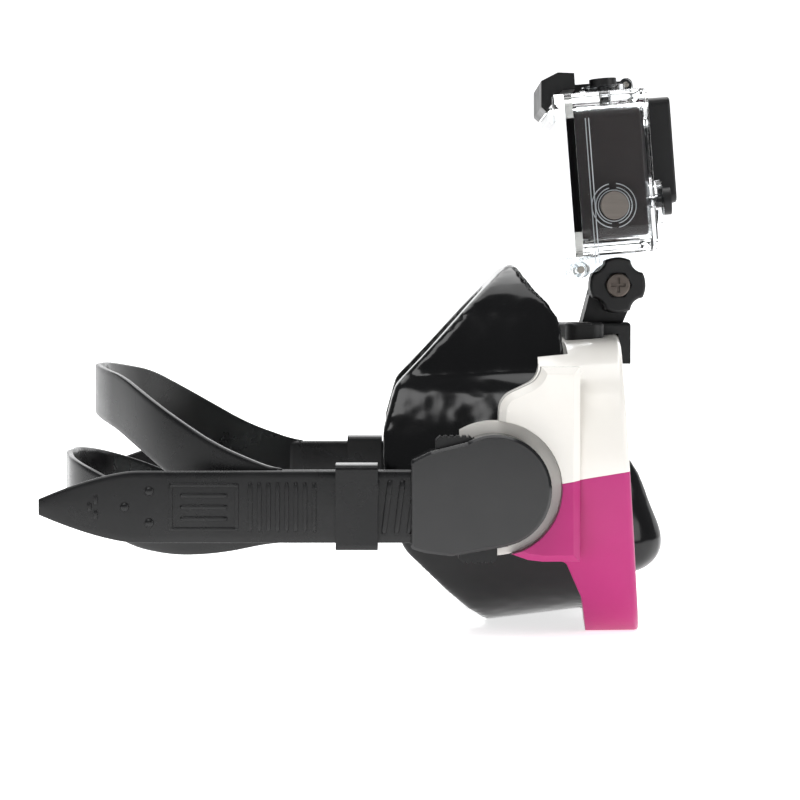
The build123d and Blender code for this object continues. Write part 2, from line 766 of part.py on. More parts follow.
# ==============================================================================================
# Camera bracket on the brow
# ==============================================================================================
bracket_mid_x = (bracket_front_x + bracket_rear_x) / 2
with BuildPart() as brow_room:
    with BuildSketch(front.offset(0.05)):
        add(grown(outline.sketch, 0.05))
    extrude(amount=-80)
    split(bisect_by=Plane.XZ, keep=Keep.TOP)
    mirror(about=Plane.XZ)

flange_bottom = frame_height - flange_drop
flange_front_x = front_x - flange_bottom * sin(lean) / cos(lean) + flange_thickness
with BuildPart() as mount_base:
    with BuildSketch(Plane.XY.offset(flange_bottom)):
        with Locations((bracket_mid_x, 0)):
            RectangleRounded(bracket_front_x - bracket_rear_x, 2 * bracket_half_width, 4)
        with Locations(((bracket_mid_x + flange_front_x) / 2, 0)):
            Rectangle(flange_front_x - bracket_mid_x, 2 * flange_half_width)
    extrude(amount=bracket_top - flange_bottom)
    fillet(faces().sort_by(Axis.Z)[-1].edges(), radius=1.2)
    add(brow_room.part, mode=Mode.SUBTRACT)
    with Locations((bracket_mid_x, base_screw_y, bracket_top), (bracket_mid_x, -base_screw_y, bracket_top)):
        CounterBoreHole(radius=base_screw_radius, counter_bore_radius=base_screw_radius + 1.3,
                        counter_bore_depth=1.4)
save("mount_base", mount_base.part)

with BuildPart() as mount_screw:
    with Locations((bracket_mid_x, -base_screw_y, bracket_top)):
        Cylinder(base_screw_radius, 9, align=(Align.CENTER, Align.CENTER, Align.MAX))
        Cylinder(base_screw_radius + 1.2, 1.4, align=(Align.CENTER, Align.CENTER, Align.MAX))
        Box(2.6, 0.6, 1.4, mode=Mode.SUBTRACT)
        Box(0.6, 2.6, 1.4, mode=Mode.SUBTRACT)
save_pair("mount_screw", mount_screw.part)

pitch = prong_thickness + prong_gap
nut_face = pitch * 2 + prong_thickness / 2  # left face of the outermost prong
arm_half = nut_face
with BuildPart() as mount_arm:
    # the block that leans forward from the base, with a hub round the screw
    with BuildSketch(right_plane(-arm_half)):
        with BuildLine():
            Polyline((screw_x - arm_half_depth - 4.6, bracket_top), (screw_x - prong_radius, screw_z),
                     (screw_x + prong_radius, screw_z), (screw_x + arm_half_depth - 3.4, bracket_top),
                     close=True)
        make_face()
        with Locations((screw_x, screw_z)):
            Circle(prong_radius)
    extrude(amount=2 * arm_half)
    # gaps for the housing's two prongs
    for across in (-pitch, pitch):
        with BuildSketch(right_plane(across - prong_thickness / 2 - prong_gap)):
            with Locations((screw_x, screw_z)):
                Circle(prong_radius + 1.2)
            with Locations((screw_x, screw_z + 10)):
                Rectangle(40, 20)
        extrude(amount=prong_thickness + 2 * prong_gap, mode=Mode.SUBTRACT)
    # boss for the captive nut, on the left
    with BuildSketch(right_plane(-arm_half)):
        with Locations((screw_x, screw_z)):
            Circle(nut_boss_radius)
    extrude(amount=-nut_thickness - 0.6)
    with BuildSketch(right_plane(-arm_half - 0.6)):
        with Locations((screw_x, screw_z)):
            RegularPolygon(radius=nut_flats / 2 + 0.05, side_count=6, major_radius=False)
    extrude(amount=-20, mode=Mode.SUBTRACT)
    with BuildSketch(right_plane(-30)):
        with Locations((screw_x, screw_z)):
            Circle(screw_radius + running_gap)
    extrude(amount=60, mode=Mode.SUBTRACT)
save("mount_arm", mount_arm.part)

with BuildPart() as captive_nut:
    with BuildSketch(right_plane(-arm_half - 0.6 - nut_thickness)):
        with Locations((screw_x, screw_z)):
            RegularPolygon(radius=nut_flats / 2, side_count=6, major_radius=False)
            Circle(screw_radius + running_gap, mode=Mode.SUBTRACT)
    extrude(amount=nut_thickness)
save("captive_nut", captive_nut.part)

knob_face = arm_half + 0.2
with BuildPart() as thumb_knob:
    with BuildSketch(right_plane(knob_face)):
        with Locations((screw_x, screw_z)):
            Circle(knob_radius)
            with PolarLocations(knob_radius + 2.8, 4, start_angle=45):
                Circle(4.2, mode=Mode.SUBTRACT)
    extrude(amount=knob_thickness)
    fillet(faces().sort_by(Axis.Y)[0].edges(), radius=0.9)
    with BuildSketch(right_plane(knob_face)):
        with Locations((screw_x, screw_z)):
            Circle(screw_radius)
    extrude(amount=knob_thickness, mode=Mode.SUBTRACT)
    # hexagonal seat for the screw's head
    with BuildSketch(right_plane(knob_face + knob_thickness - 1.2)):
        with Locations((screw_x, screw_z)):
            RegularPolygon(radius=screw_head_radius + 0.05, side_count=6, major_radius=False)
    extrude(amount=2, mode=Mode.SUBTRACT)
save("thumb_knob", thumb_knob.part)

head_base = knob_face + knob_thickness - 1.2
with BuildPart() as thumb_screw:
    with BuildSketch(right_plane(-arm_half - 0.6 - nut_thickness)):
        with Locations((screw_x, screw_z)):
            Circle(screw_radius)
    extrude(amount=head_base + arm_half + 0.6 + nut_thickness)
    with BuildSketch(right_plane(head_base)):
        with Locations((screw_x, screw_z)):
            Circle(screw_head_radius)
    extrude(amount=screw_head_thickness)
    fillet(faces().sort_by(Axis.Y)[0].edges(), radius=0.5)
    with BuildSketch(right_plane(head_base + screw_head_thickness - 1.0)):
        with Locations((screw_x, screw_z)):
            Rectangle(4.4, 0.9)
            Rectangle(0.9, 4.4)
    extrude(amount=2, mode=Mode.SUBTRACT)
save("thumb_screw", thumb_screw.part)

# ==============================================================================================
# Camera
# ==============================================================================================
with BuildPart() as camera_body:
    with BuildSketch(face_plane(camera_rear)):
        with Locations((0, camera_mid)):
            RectangleRounded(camera_width, camera_height, 4)
    extrude(amount=camera_front - camera_rear)
    fillet(faces().sort_by(Axis.X)[-1].edges(), radius=1.2)
    with BuildSketch(face_plane(camera_rear)):
        with Locations((-4, camera_mid)):
            RectangleRounded(44.2, 33.2, 1.6)
    extrude(amount=0.9, mode=Mode.SUBTRACT)
save("camera_body", camera_body.part)

with BuildPart() as camera_screen:
    with BuildSketch(face_plane(camera_rear + 0.1)):
        with Locations((-4, camera_mid)):
            RectangleRounded(44, 33, 1.5)
    extrude(amount=0.8)
save("camera_screen", camera_screen.part)

with BuildPart() as camera_lens:
    with BuildSketch(face_plane(camera_front)):
        with Locations((port_y, port_w)):
            Circle(lens_radius)
    extrude(amount=port_front - glass_thickness - 1.6 - camera_front - 3.4)
    outer_rim = faces().sort_by(Axis.X)[-1].edges()
    chamfer(outer_rim, length=0.8)
    with BuildSketch(face_plane(port_front - glass_thickness - 1.6 - 3.4 - 1.2)):
        with Locations((port_y, port_w)):
            Circle(lens_radius - 3)
    extrude(amount=3, mode=Mode.SUBTRACT)
save("camera_lens", camera_lens.part)

# ==============================================================================================
# Housing
# ==============================================================================================
housing_mid = (housing_bottom + housing_top) / 2
housing_height = housing_top - housing_bottom
cavity_half = camera_width / 2 + cavity_gap
cavity_height = camera_height + 2 * cavity_gap
with BuildPart() as housing_body:
    with BuildSketch(face_plane(housing_rear)):
        with Locations((0, housing_mid)):
            RectangleRounded(2 * housing_half_width, housing_height, housing_round)
    extrude(amount=housing_front - housing_rear)
    fillet(faces().sort_by(Axis.X)[-1].edges(), radius=1.6)
    # flange round the rear half
    with BuildSketch(face_plane(-8.5)):
        with Locations((0, housing_mid)):
            RectangleRounded(2 * housing_half_width + 0.8, housing_height + 0.8, housing_round + 0.4)
    extrude(amount=1.6)
    # room for the camera
    with BuildSketch(face_plane(housing_rear)):
        with Locations((0, camera_mid)):
            RectangleRounded(2 * cavity_half, cavity_height, 4 + cavity_gap)
    extrude(amount=camera_front + cavity_gap - housing_rear, mode=Mode.SUBTRACT)
    with BuildSketch(face_plane(camera_front)):
        with Locations((port_y, port_w)):
            Circle(lens_radius + 0.6)
        with Locations((mode_y, mode_w)):
            Circle(stem_radius + running_gap)
    extrude(amount=20, mode=Mode.SUBTRACT)
    # seat of the gasket
    with BuildSketch(face_plane(housing_rear)):
        with Locations((0, camera_mid)):
            RectangleRounded(2 * (cavity_half + gasket_width), cavity_height + 2 * gasket_width, 6)
    extrude(amount=gasket_depth, mode=Mode.SUBTRACT)
    # two prongs below
    for across in (-pitch, pitch):
        with BuildSketch(side_plane(-across + prong_thickness / 2)):
            with Locations((0, 0)):
                Circle(prong_radius)
            with Locations((0, (housing_bottom + 1) / 2)):
                Rectangle(2 * prong_radius, housing_bottom + 1)
        extrude(amount=prong_thickness)
    # knuckles of the door's hinge
    for across in (-knuckle_inner + 2, knuckle_inner - 2):
        with BuildSketch(side_plane(across + 4.5 / 2)):
            with Locations((pin_u, pin_w)):
                Circle(knuckle_radius)
            with Locations((pin_u + 2.2, pin_w + 3.2)):
                Rectangle(5, 4)
        extrude(amount=4.5)
    for across in (-knuckle_outer + 2.4, knuckle_outer - 2.4):
        with BuildSketch(side_plane(across + 2.4)):
            with Locations((pin_u, pin_w)):
                Circle(knuckle_radius)
            with Locations((pin_u + 2.2, pin_w + 3.2)):
                Rectangle(5, 4)
        extrude(amount=4.8)
    with BuildSketch(side_plane(40)):
        with Locations((pin_u, pin_w)):
            Circle(pin_radius)
    extrude(amount=80, mode=Mode.SUBTRACT)
    # ears for the latch's pin
    for across in (latch_left + 2.0, -latch_right - 2.0):
        with BuildSketch(side_plane(across + 1.5)):
            with Locations((latch_u, latch_w)):
                Circle(latch_radius)
            with Locations((latch_u, (housing_top - 0.5 + latch_w) / 2)):
                Rectangle(2 * latch_radius, latch_w - housing_top + 0.5)
        extrude(amount=3.0)
    with BuildSketch(side_plane(latch_left + 3.5)):
        with Locations((latch_u, latch_w)):
            Circle(latch_pin_radius)
    extrude(amount=latch_left + latch_right + 7.0, mode=Mode.SUBTRACT)
    # bore for the prongs' screw
    with BuildSketch(side_plane(20)):
        Circle(screw_radius + running_gap)
    extrude(amount=40, mode=Mode.SUBTRACT)
    # guards and bores of the buttons
    with BuildSketch(housing_axes.offset(housing_top - 0.5)):
        with Locations((shutter_u, shutter_y)):
            Circle(guard_radius)
            Circle(guard_radius - guard_wall, mode=Mode.SUBTRACT)
    extrude(amount=3.0)
    with BuildSketch(housing_axes.offset(camera_mid)):
        with Locations((shutter_u, shutter_y)):
            Circle(stem_radius + running_gap)
    extrude(amount=40, mode=Mode.SUBTRACT)
    with BuildSketch(face_plane(housing_front - 0.5)):
        with Locations((mode_y, mode_w)):
            Circle(guard_radius)
            Circle(stem_radius + running_gap, mode=Mode.SUBTRACT)
    extrude(amount=0.5 + guard_floor)
    with BuildSketch(face_plane(housing_front + guard_floor)):
        with Locations((mode_y, mode_w)):
            Circle(guard_radius)
            Circle(guard_radius - guard_wall, mode=Mode.SUBTRACT)
    extrude(amount=1.6)
    with BuildSketch(side_plane(-housing_half_width + 0.5)):
        with Locations((side_u, side_w)):
            Circle(guard_radius)
            Circle(guard_radius - guard_wall, mode=Mode.SUBTRACT)
    extrude(amount=1.9)
    with BuildSketch(side_plane(-20)):
        with Locations((side_u, side_w)):
            Circle(stem_radius + running_gap)
    extrude(amount=40, mode=Mode.SUBTRACT)
save("housing_body", housing_body.part)

with BuildPart() as door_gasket:
    with BuildSketch(face_plane(housing_rear)):
        with Locations((0, camera_mid)):
            RectangleRounded(2 * (cavity_half + gasket_width), cavity_height + 2 * gasket_width, 6)
            RectangleRounded(2 * cavity_half, cavity_height, 4 + cavity_gap, mode=Mode.SUBTRACT)
    extrude(amount=gasket_depth)
save("door_gasket", door_gasket.part)

door_front = housing_rear - door_gap
door_rear = door_front - door_thickness
lip_rear = door_rear - 1.4
with BuildPart() as housing_door:
    with BuildSketch(face_plane(door_front)):
        with Locations((0, housing_mid)):
            RectangleRounded(2 * housing_half_width, housing_height, housing_round)
    extrude(amount=-door_thickness)
    # lip that the latch holds, its rear face sloping
    with BuildSketch(side_plane(hook_half)):
        with BuildLine():
            Polyline((door_rear + 0.5, 50.5), (lip_rear, 52), (lip_rear, 54.6), (door_front, housing_top),
                     (door_front, 50.5), close=True)
        make_face()
    extrude(amount=2 * hook_half)
    with BuildSketch(side_plane(hook_half + 0.3)):
        with BuildLine():
            Polyline((lip_rear, 54.6), (door_front, housing_top), (door_front, housing_top + 4),
                     (lip_rear, housing_top + 4), close=True)
        make_face()
    extrude(amount=2 * hook_half + 0.6, mode=Mode.SUBTRACT)
    # knuckles, between and outside the body's
    for across in (-19.5, 19.5):
        with BuildSketch(side_plane(across + 5.5)):
            with Locations((pin_u, pin_w)):
                Circle(knuckle_radius)
            with BuildLine():
                Polyline((pin_u, pin_w - knuckle_radius), (pin_u, pin_w + knuckle_radius),
                         (door_front, housing_bottom + 6), (door_rear, housing_bottom + 6),
                         (door_rear, housing_bottom - 1), (pin_u - 1.2, pin_w - knuckle_radius + 0.3),
                         close=True)
            make_face()
        extrude(amount=11.0)
    with BuildSketch(face_plane(housing_rear - door_gap)):
        with Locations((0, housing_mid)):
            Rectangle(3 * housing_half_width, housing_height)
    extrude(amount=4, mode=Mode.SUBTRACT)
    with BuildSketch(side_plane(40)):
        with Locations((pin_u, pin_w)):
            Circle(pin_radius + running_gap)
    extrude(amount=80, mode=Mode.SUBTRACT)
save("housing_door", housing_door.part)

with BuildPart() as door_hinge_pin:
    with BuildSketch(side_plane(knuckle_outer)):
        with Locations((pin_u, pin_w)):
            Circle(pin_radius)
    extrude(amount=2 * knuckle_outer)
save("door_hinge_pin", door_hinge_pin.part)

lever_low, lever_high = latch_w - 1.3, latch_w + 1.5
with BuildPart() as latch:
    with BuildSketch(side_plane(latch_left)):
        with Locations((latch_u, latch_w)):
            Circle(latch_radius)
        with Locations(((latch_u + hook_front_u) / 2, (lever_low + lever_high) / 2)):
            Rectangle(latch_u - hook_front_u, lever_high - lever_low)
    extrude(amount=latch_left + latch_right)
    slope = clear * 1.6
    with BuildSketch(side_plane(hook_half)):
        with BuildLine():
            Polyline((hook_front_u, lever_low), (door_front + 0.6, lever_low), (lip_rear - slope, 54.9),
                     (lip_rear - slope - 1.4, 56.4), (lip_rear - slope - 0.8, 64.4), (-14, 66.6),
                     (hook_front_u, 66.0), close=True)
        make_face()
    extrude(amount=2 * hook_half)
    with BuildSketch(side_plane(latch_left)):
        with Locations((latch_u, latch_w)):
            Circle(latch_pin_radius + running_gap)
    extrude(amount=latch_left + latch_right, mode=Mode.SUBTRACT)
save("latch", latch.part)

with BuildPart() as latch_pin:
    with BuildSketch(side_plane(latch_left + 3.5)):
        with Locations((latch_u, latch_w)):
            Circle(latch_pin_radius)
    extrude(amount=latch_left + latch_right + 7.0)
save("latch_pin", latch_pin.part)

# ---- lens port ---------------------------------------------------------------------------------
glass_rear = port_front - glass_thickness - 1.6
with BuildPart() as lens_port_ring:
    with BuildSketch(face_plane(housing_front)):
        with Locations((port_y, port_w)):
            RectangleRounded(port_side, port_side, 2.5)
    extrude(amount=port_front - housing_front)
    fillet(faces().sort_by(Axis.X)[-1].edges(), radius=0.8)
    with BuildSketch(face_plane(housing_front)):
        with Locations((port_y, port_w)):
            Circle(port_bore)
    extrude(amount=20, mode=Mode.SUBTRACT)
    with BuildSketch(face_plane(glass_rear)):
        with Locations((port_y, port_w)):
            Circle(glass_radius)
    extrude(amount=20, mode=Mode.SUBTRACT)
    with BuildSketch(face_plane(port_front - 1.2)):
        with Locations((port_y, port_w)):
            with GridLocations(port_screw_pitch, port_screw_pitch, 2, 2):
                Circle(port_screw_radius)
    extrude(amount=5, mode=Mode.SUBTRACT)
save("lens_port_ring", lens_port_ring.part)

with BuildPart() as lens_port_glass:
    with BuildSketch(face_plane(glass_rear)):
        with Locations((port_y, port_w)):
            Circle(glass_radius - 0.05)
    extrude(amount=glass_thickness)
save("lens_port_glass", lens_port_glass.part)

with BuildPart() as lens_port_screws:
    with BuildSketch(face_plane(port_front - 1.2)):
        with Locations((port_y, port_w)):
            with GridLocations(port_screw_pitch, port_screw_pitch, 2, 2):
                Circle(port_screw_radius - 0.05)
    extrude(amount=1.0)
    with BuildSketch(face_plane(port_front - 0.7)):
        with Locations((port_y, port_w)):
            with GridLocations(port_screw_pitch, port_screw_pitch, 2, 2):
                Rectangle(1.6, 0.4)
                Rectangle(0.4, 1.6)
    extrude(amount=2, mode=Mode.SUBTRACT)
save("lens_port_screws", lens_port_screws.part)


# ---- buttons -----------------------------------------------------------------------------------
def press_button(plane, place, inner, outer, cap_depth):
    """A button along a plane's normal: a stem from `inner` to `outer`, with a cap at its outer end."""
    with BuildPart() as button:
        with BuildSketch(plane.offset(inner)):
            with Locations(place):
                Circle(stem_radius)
        extrude(amount=outer - inner)
        with BuildSketch(plane.offset(outer - cap_depth)):
            with Locations(place):
                Circle(button_radius)
        extrude(amount=cap_depth)
    return button.part


stem_room = cavity_gap + button_stroke + 0.05  # from the camera to a stem at rest
save("shutter_button", press_button(housing_axes, (shutter_u, shutter_y),
                                    camera_mid + camera_height / 2 + stem_room, housing_top + 4.8, 2.6))
save("mode_button", press_button(face_plane(0), (mode_y, mode_w), camera_front + stem_room,
                                 housing_front + guard_floor + 4.4, 2.6))
save("side_button", press_button(side_plane(0), (side_u, side_w), camera_width / 2 + stem_room,
                                 housing_half_width + 3.0, 1.6))
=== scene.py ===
"""Dive mask with an action camera in a clear housing: the looks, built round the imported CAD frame."""
from __future__ import annotations

import logging
import math
from dataclasses import dataclass
from enum import Enum
from typing import Any, Sequence

import bmesh
import bpy
import numpy as np
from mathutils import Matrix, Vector


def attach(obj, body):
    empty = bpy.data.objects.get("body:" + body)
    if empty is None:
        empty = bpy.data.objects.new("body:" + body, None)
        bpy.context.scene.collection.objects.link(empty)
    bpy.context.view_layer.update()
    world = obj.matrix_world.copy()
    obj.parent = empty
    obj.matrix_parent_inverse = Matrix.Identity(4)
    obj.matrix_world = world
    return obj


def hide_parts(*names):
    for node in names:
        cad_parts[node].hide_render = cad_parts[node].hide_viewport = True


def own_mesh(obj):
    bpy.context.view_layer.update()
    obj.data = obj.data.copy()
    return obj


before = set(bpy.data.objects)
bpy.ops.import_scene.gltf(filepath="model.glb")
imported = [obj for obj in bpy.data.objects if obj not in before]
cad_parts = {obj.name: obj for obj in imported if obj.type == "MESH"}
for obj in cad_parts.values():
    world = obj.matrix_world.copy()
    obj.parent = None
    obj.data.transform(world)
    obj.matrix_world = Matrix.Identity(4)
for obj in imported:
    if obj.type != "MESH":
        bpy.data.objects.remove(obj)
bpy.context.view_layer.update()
MM = 0.001
LOG = logging.getLogger("mask")
Grid = np.ndarray


def linear(hex_colour: str) -> tuple[float, float, float, float]:
    """Turns an sRGB hex colour into linear RGBA.

    Args:
        hex_colour: Six hex digits, such as "c42a85".

    Returns:
        Red, green, blue and an alpha of 1.
    """
    parts = [int(hex_colour[i:i + 2], 16) / 255 for i in (0, 2, 4)]
    red, green, blue = (p / 12.92 if p <= 0.04045 else ((p + 0.055) / 1.055) ** 2.4 for p in parts)
    return (red, green, blue, 1.0)


def add_node(tree: bpy.types.NodeTree, kind: str, settings: dict[str, Any] | None = None,
             links: dict[str, Any] | None = None) -> bpy.types.Node:
    """Adds one node with its settings, socket values and links.

    Args:
        tree: The node tree that gets the node.
        kind: The node's type name.
        settings: Property names or input names to values.
        links: Input names to output sockets that feed them.

    Returns:
        The new node.
    """
    node = tree.nodes.new(kind)
    for name, value in (settings or {}).items():
        if name in node.inputs:
            node.inputs[name].default_value = value
        else:
            setattr(node, name, value)
    for name, socket in (links or {}).items():
        tree.links.new(socket, node.inputs[name])
    return node


class Grain(Enum):
    """How a moulded surface's fine relief runs."""

    PEEL = "long soft ripples of a polished mould"
    SPARK = "fine pits of a spark-eroded mould"
    BRUSHED = "lines of a turned or drawn metal"


@dataclass(frozen=True)
class Finish:
    """One opaque finish: its colour, its gloss and the relief left by how it was made."""

    name: str
    colour: str
    worn: str
    roughness: float
    grain: Grain = Grain.SPARK
    grain_mm: float = 0.6
    relief: float = 0.12
    ior: float = 1.5
    metallic: float = 0.0
    coat: float = 0.0
    depth_mm: float = 0.12
    edge_mm: float = 0.35
    glow: float = 0.0

    def make(self) -> bpy.types.Material:
        """Builds the material.

        Returns:
            A material whose colour, roughness and bump vary over Object coordinates.
        """
        material = bpy.data.materials.new(self.name)
        material.use_nodes = True
        tree = material.node_tree
        tree.nodes.clear()
        place = add_node(tree, "ShaderNodeTexCoord")
        squeeze = (1.0, 1.0, 14.0) if self.grain is Grain.BRUSHED else (1.0, 1.0, 1.0)
        mapped = add_node(tree, "ShaderNodeMapping", {"Scale": squeeze}, {"Vector": place.outputs["Object"]})
        # soft cloudy handling marks, about 18 mm across
        cloud = add_node(tree, "ShaderNodeTexNoise", {"Scale": 1 / (18 * MM), "Detail": 4.0, "Roughness": 0.6},
                         {"Vector": mapped.outputs["Vector"]})
        fine = add_node(tree, "ShaderNodeTexNoise",
                        {"Scale": 1 / (self.grain_mm * MM), "Detail": 2.0 if self.grain is Grain.PEEL else 5.0},
                        {"Vector": mapped.outputs["Vector"]})
        tint = add_node(tree, "ShaderNodeMix", {"data_type": "RGBA"}, {"Factor": cloud.outputs["Fac"]})
        tint.inputs[6].default_value = linear(self.colour)
        tint.inputs[7].default_value = linear(self.worn)
        gloss = add_node(tree, "ShaderNodeMapRange",
                         {"From Min": 0.3, "From Max": 0.7, "To Min": self.roughness * 0.8,
                          "To Max": self.roughness * 1.25}, {"Value": cloud.outputs["Fac"]})
        # every moulded edge is a little round, so it catches a line of light
        edge = add_node(tree, "ShaderNodeBevel", {"Radius": self.edge_mm * MM, "samples": 4})
        bump = add_node(tree, "ShaderNodeBump", {"Strength": self.relief, "Distance": self.depth_mm * MM},
                        {"Height": fine.outputs["Fac"], "Normal": edge.outputs["Normal"]})
        shader = add_node(tree, "ShaderNodeBsdfPrincipled",
                          {"IOR": self.ior, "Metallic": self.metallic, "Coat Weight": self.coat,
                           "Coat Roughness": 0.06, "Emission Color": (1.0, 1.0, 1.0, 1.0),
                           "Emission Strength": self.glow},
                          {"Base Color": tint.outputs[2], "Roughness": gloss.outputs["Result"],
                           "Normal": bump.outputs["Normal"]})
        add_node(tree, "ShaderNodeOutputMaterial", {}, {"Surface": shader.outputs["BSDF"]})
        return material


@dataclass(frozen=True)
class Clear:
    """One see-through finish: its tint, how much it bends light, and faint marks on its surface."""

    name: str
    tint: str
    ior: float
    roughness: float

    def make(self) -> bpy.types.Material:
        """Builds the material.

        Returns:
            A transmitting material with a faint ripple in its gloss and its surface.
        """
        material = bpy.data.materials.new(self.name)
        material.use_nodes = True
        tree = material.node_tree
        tree.nodes.clear()
        place = add_node(tree, "ShaderNodeTexCoord")
        ripple = add_node(tree, "ShaderNodeTexNoise", {"Scale": 1 / (9 * MM), "Detail": 3.0},
                          {"Vector": place.outputs["Object"]})
        haze = add_node(tree, "ShaderNodeMapRange",
                        {"From Min": 0.35, "From Max": 0.75, "To Min": self.roughness,
                         "To Max": self.roughness + 0.05}, {"Value": ripple.outputs["Fac"]})
        bump = add_node(tree, "ShaderNodeBump", {"Strength": 0.05, "Distance": 0.1 * MM},
                        {"Height": ripple.outputs["Fac"]})
        shader = add_node(tree, "ShaderNodeBsdfPrincipled",
                          {"Base Color": linear(self.tint), "IOR": self.ior, "Transmission Weight": 1.0},
                          {"Roughness": haze.outputs["Result"], "Normal": bump.outputs["Normal"]})
        add_node(tree, "ShaderNodeOutputMaterial", {}, {"Surface": shader.outputs["BSDF"]})
        return material


# Gloss white ABS, moulded in a polished tool: a hard highlight over a faintly warm white.
WHITE_ABS = Finish("white_abs", "efece6", "eae6df", 0.22, Grain.PEEL, 5.0, 0.05, 1.54, coat=0.25)
# Magenta polycarbonate with a satin etch: a broad soft highlight.
MAGENTA_PC = Finish("magenta_polycarbonate", "b81a74", "aa1668", 0.34, Grain.SPARK, 0.5, 0.08, 1.5)
# Liquid silicone rubber from a polished tool: deep black with wide wet highlights.
SILICONE = Finish("liquid_silicone", "060607", "0b0b0c", 0.13, Grain.PEEL, 16.0, 0.55, 1.41, depth_mm=1.6)
# Acetal, moulded glossy.
GLOSS_ACETAL = Finish("gloss_acetal", "0d0d0e", "131314", 0.16, Grain.PEEL, 4.0, 0.05, 1.48, coat=0.2)
# Glass-filled nylon from a spark-eroded tool: satin with a fine pitted grain.
NYLON = Finish("glass_filled_nylon", "080809", "0e0e0f", 0.4, Grain.SPARK, 0.45, 0.2, 1.45)
# Strap rubber: satin, with a slight bloom.
STRAP_RUBBER = Finish("strap_rubber", "070708", "0d0d0e", 0.27, Grain.SPARK, 0.9, 0.1, 1.45)
# Stainless steel, turned.
STEEL = Finish("stainless_steel", "b9b4ac", "a39d94", 0.3, Grain.BRUSHED, 0.5, 0.12, metallic=1.0)
# Zinc-plated screw, dulled.
DULL_STEEL = Finish("dull_zinc_steel", "6e6660", "57504b", 0.42, Grain.BRUSHED, 0.5, 0.15, metallic=1.0)
# Grey anodised button cap.
GREY_ANODISED = Finish("grey_anodised", "8a837d", "6f6963", 0.36, Grain.BRUSHED, 0.6, 0.1, metallic=0.8)
# White silicone gasket, matte from its tool.
GASKET_SILICONE = Finish("white_gasket_silicone", "e9e8e4", "dcdad5", 0.5, Grain.SPARK, 0.8, 0.1, 1.43)
# Soft-touch painted camera shell, dark warm grey.
CAMERA_PAINT = Finish("camera_soft_paint", "1f1716", "2a201e", 0.5, Grain.SPARK, 0.4, 0.25, 1.45)
# Cover glass over a dark display.
DISPLAY = Finish("display_glass", "08090c", "0d0f13", 0.08, Grain.PEEL, 9.0, 0.02, 1.52, coat=0.5)
# Tempered soda-lime glass with a faint green edge.
LENS_GLASS = Clear("tempered_glass", "eef5f2", 1.5, 0.0)
# Optical polycarbonate of the housing.
HOUSING_PC = Clear("clear_polycarbonate", "f8fafb", 1.3, 0.01)
# The same plastic seen edge on: a painted highlight, pale opaque lines that stand for the light it gathers there.
LIT_EDGE = Finish("painted_edge_highlight", "cfd3d6", "b9bec2", 0.15, Grain.PEEL, 3.0, 0.04, 1.58, coat=0.3)
# Backdrop paper on a light table: it glows a little, so it reads as white.
FLOOR_PAPER = Finish("floor_paper", "fafafa", "f8f8f8", 0.8, Grain.PEEL, 40.0, 0.0, glow=0.72)

NODE_FINISHES: dict[str, Finish | Clear] = {
    "frame_upper": WHITE_ABS, "frame_lower": MAGENTA_PC, "bezel": NYLON, "lens": LENS_GLASS,
    "skirt": SILICONE, "buckle_pivot": STEEL, "buckle_base": GLOSS_ACETAL, "buckle_cover": GLOSS_ACETAL,
    "release_button_upper": NYLON, "release_button_lower": NYLON, "release_spring_upper": STEEL,
    "release_spring_lower": STEEL, "strap_roller": STEEL, "strap": STRAP_RUBBER, "strap_keeper": STRAP_RUBBER,
    "mount_base": NYLON, "mount_arm": NYLON, "mount_screw": STEEL, "captive_nut": STEEL, "thumb_knob": NYLON,
    "thumb_screw": DULL_STEEL, "housing_body": HOUSING_PC, "housing_door": HOUSING_PC,
    "door_gasket": GASKET_SILICONE, "door_hinge_pin": STEEL, "latch": NYLON, "latch_pin": STEEL,
    "lens_port_ring": NYLON, "lens_port_glass": LENS_GLASS, "lens_port_screws": STEEL,
    "camera_body": CAMERA_PAINT, "camera_lens": NYLON, "camera_screen": DISPLAY, "shutter_button": NYLON,
    "mode_button": NYLON, "side_button": GREY_ANODISED,
}


class Wardrobe:
    """Keeps one material for each finish."""

    def __init__(self) -> None:
        """Starts with nothing made."""
        self._made: dict[str, bpy.types.Material] = {}

    def get(self, finish: Finish | Clear) -> bpy.types.Material:
        """Returns the finish's material, and makes it the first time."""
        if finish.name not in self._made:
            self._made[finish.name] = finish.make()
        return self._made[finish.name]


WARDROBE = Wardrobe()


def dress(piece: bpy.types.Object, finish: Finish | Clear) -> None:
    """Gives a piece one finish in every slot."""
    material = WARDROBE.get(finish)
    if not piece.material_slots:
        piece.data.materials.append(material)
    for holder in piece.material_slots:
        holder.link = "OBJECT"
        holder.material = material


def stem(node: str) -> str:
    """Returns a node's name without its side."""
    for side in ("_right", "_left"):
        if node.endswith(side):
            return node[: -len(side)]
    return node


def dress_frame() -> None:
    """Gives every CAD node its finish."""
    for name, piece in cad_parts.items():
        dress(piece, NODE_FINISHES[stem(name)])
        LOG.info("dressed %s", name)


@dataclass(frozen=True)
class Softbox:
    """One square lamp: its place in metres, its side in metres and its power in watts."""

    name: str
    spot: tuple[float, float, float]
    side: float
    power: float


